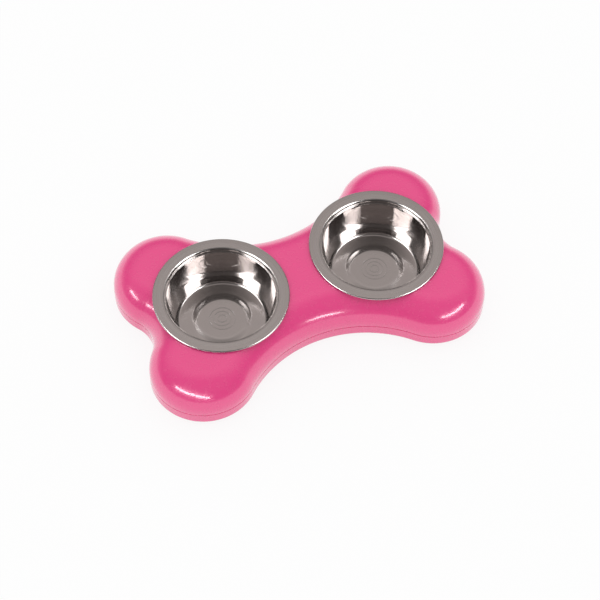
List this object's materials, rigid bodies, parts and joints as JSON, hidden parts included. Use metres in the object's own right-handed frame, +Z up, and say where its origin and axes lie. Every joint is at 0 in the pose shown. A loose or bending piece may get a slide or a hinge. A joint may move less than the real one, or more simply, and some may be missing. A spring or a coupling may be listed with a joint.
{
  "type": "double pet bowl",
  "caption": "Low bone-shaped plastic feeder body with rounded lobes and a narrow waist, holding lift-out stainless steel bowls side by side.",
  "frame": {"origin": "on the table under the middle of the body, at the bottoms of the feet", "axes": "+X along the body from the left bowl to the right bowl, +Y across it, +Z up"},
  "size_m": [0.3634, 0.2214, 0.056],
  "materials": {
    "body_plastic": "glossy pink moulding",
    "bowl_steel": "polished wall, satin flange and floor",
    "foot_rubber": "matte",
    "screw_zinc": "zinc-plated"
  },
  "bodies": {
    "body": {"top_shell": "body_plastic", "base_tray": "body_plastic", "foot_left_front": "foot_rubber", "foot_left_back": "foot_rubber", "foot_right_front": "foot_rubber", "foot_right_back": "foot_rubber", "screw_left_front": "screw_zinc", "screw_left_back": "screw_zinc", "screw_right_front": "screw_zinc", "screw_right_back": "screw_zinc", "screw_waist_front": "screw_zinc", "screw_waist_back": "screw_zinc"},
    "left_bowl": {"bowl_left": "bowl_steel"},
    "right_bowl": {"bowl_right": "bowl_steel"}
  },
  "joints": [
    {"name": "bowl_left_lift", "type": "slide", "parent": "body", "child": "left_bowl", "axis": [0, 0, 1], "range_m": [0, 0.06]},
    {"name": "bowl_right_lift", "type": "slide", "parent": "body", "child": "right_bowl", "axis": [0, 0, 1], "range_m": [0, 0.06]}
  ]
}
